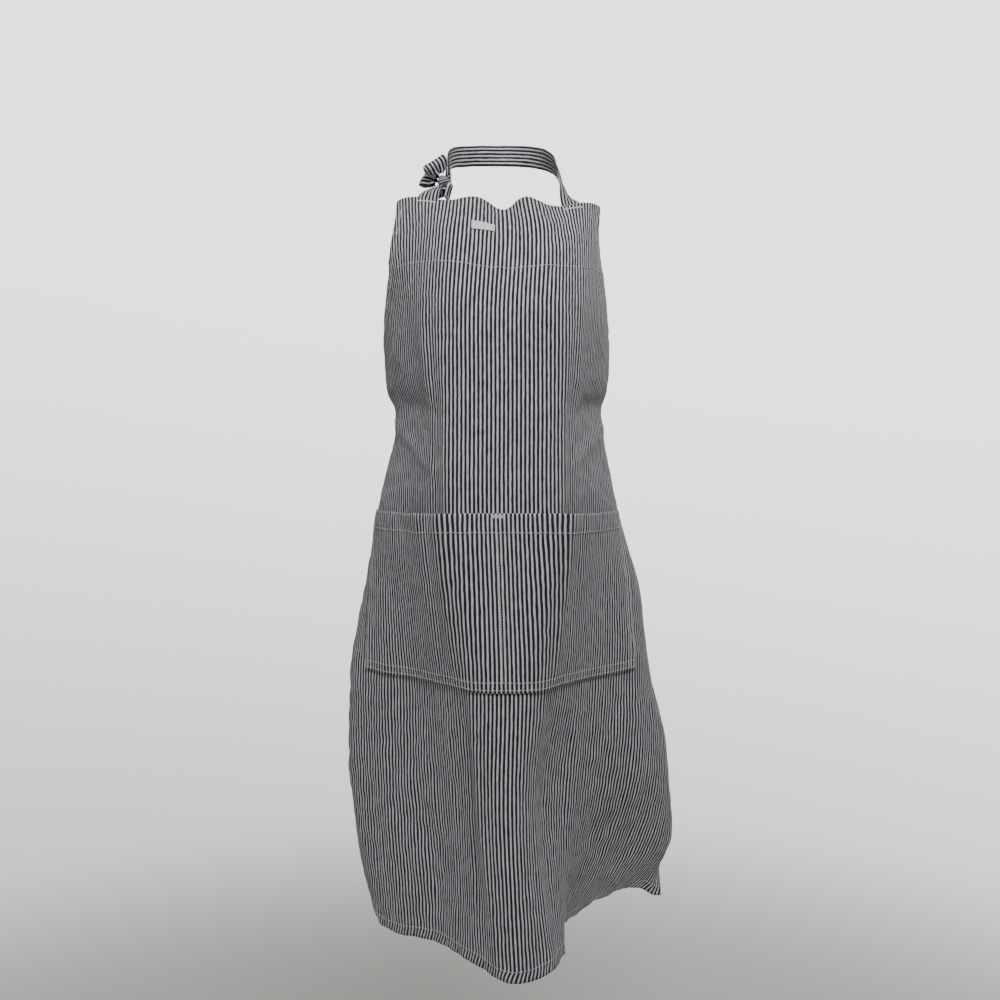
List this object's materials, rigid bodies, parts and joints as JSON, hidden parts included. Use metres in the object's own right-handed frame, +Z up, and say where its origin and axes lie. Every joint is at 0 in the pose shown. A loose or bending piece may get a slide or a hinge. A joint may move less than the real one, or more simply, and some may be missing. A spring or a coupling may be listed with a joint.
{
  "type": "butcher apron",
  "caption": "Narrow-striped cotton bib apron in its worn shape: knotted neck strap, wide divided patch pocket, waist ties in a bow behind.",
  "frame": {"origin": "inner face of the neck strap at the nape, midway up its width: the point that carries the hanging apron", "axes": "+X to the wearer's left (the right side as seen from the front), +Y to the wearer's back, +Z up; the front of the apron faces -Y"},
  "size_m": [0.3994, 0.2898, 0.9557],
  "materials": {
    "striped_cotton": "yarn-dyed cotton twill, charcoal and white stripes about 4.5 mm apart, matt and slightly creased",
    "white_thread": "white cotton-wrapped sewing thread",
    "woven_label": "white damask-woven label, blank"
  },
  "bodies": {
    "apron": {"body_panel": "striped_cotton", "bib_facing": "striped_cotton", "pocket_panel": "striped_cotton", "bib_label": "woven_label", "facing_stitch": "white_thread", "bottom_hem_stitch": "white_thread", "pocket_hem_stitch": "white_thread", "pocket_foot_stitch_lower": "white_thread", "pocket_foot_stitch_upper": "white_thread", "pocket_side_stitch_left": "white_thread", "pocket_side_stitch_right": "white_thread", "pocket_divider_stitch": "white_thread", "pocket_bartack_centre": "white_thread", "pocket_bartack_left": "white_thread", "pocket_bartack_right": "white_thread", "armhole_hem_stitch_left": "white_thread", "armhole_hem_stitch_lower_left": "white_thread", "side_hem_stitch_left": "white_thread", "armhole_hem_stitch_right": "white_thread", "armhole_hem_stitch_lower_right": "white_thread", "side_hem_stitch_right": "white_thread", "neck_strap_left": "striped_cotton", "neck_strap_right": "striped_cotton", "neck_knot": "striped_cotton", "neck_bow_loop_upper": "striped_cotton", "neck_bow_loop_outer": "striped_cotton", "neck_strap_end_front": "striped_cotton", "neck_strap_end_back": "striped_cotton", "neck_strap_tack_left": "white_thread", "neck_strap_tack_right": "white_thread", "waist_tie_left": "striped_cotton", "waist_tie_tack_left": "white_thread", "waist_tie_right": "striped_cotton", "waist_tie_tack_right": "white_thread", "waist_knot": "striped_cotton", "waist_bow_loop_left": "striped_cotton", "waist_bow_loop_right": "striped_cotton"},
    "tail_left": {"waist_tie_tail_left": "striped_cotton"},
    "tail_right": {"waist_tie_tail_right": "striped_cotton"}
  },
  "joints": [
    {"name": "tail_left_swing", "type": "hinge", "parent": "apron", "child": "tail_left", "pos_m": [-0.009, 0.046, -0.3745], "axis": [1, 0, 0], "range_deg": [0, 55]},
    {"name": "tail_right_swing", "type": "hinge", "parent": "apron", "child": "tail_right", "pos_m": [0.009, 0.046, -0.3745], "axis": [1, 0, 0], "range_deg": [0, 55]}
  ]
}
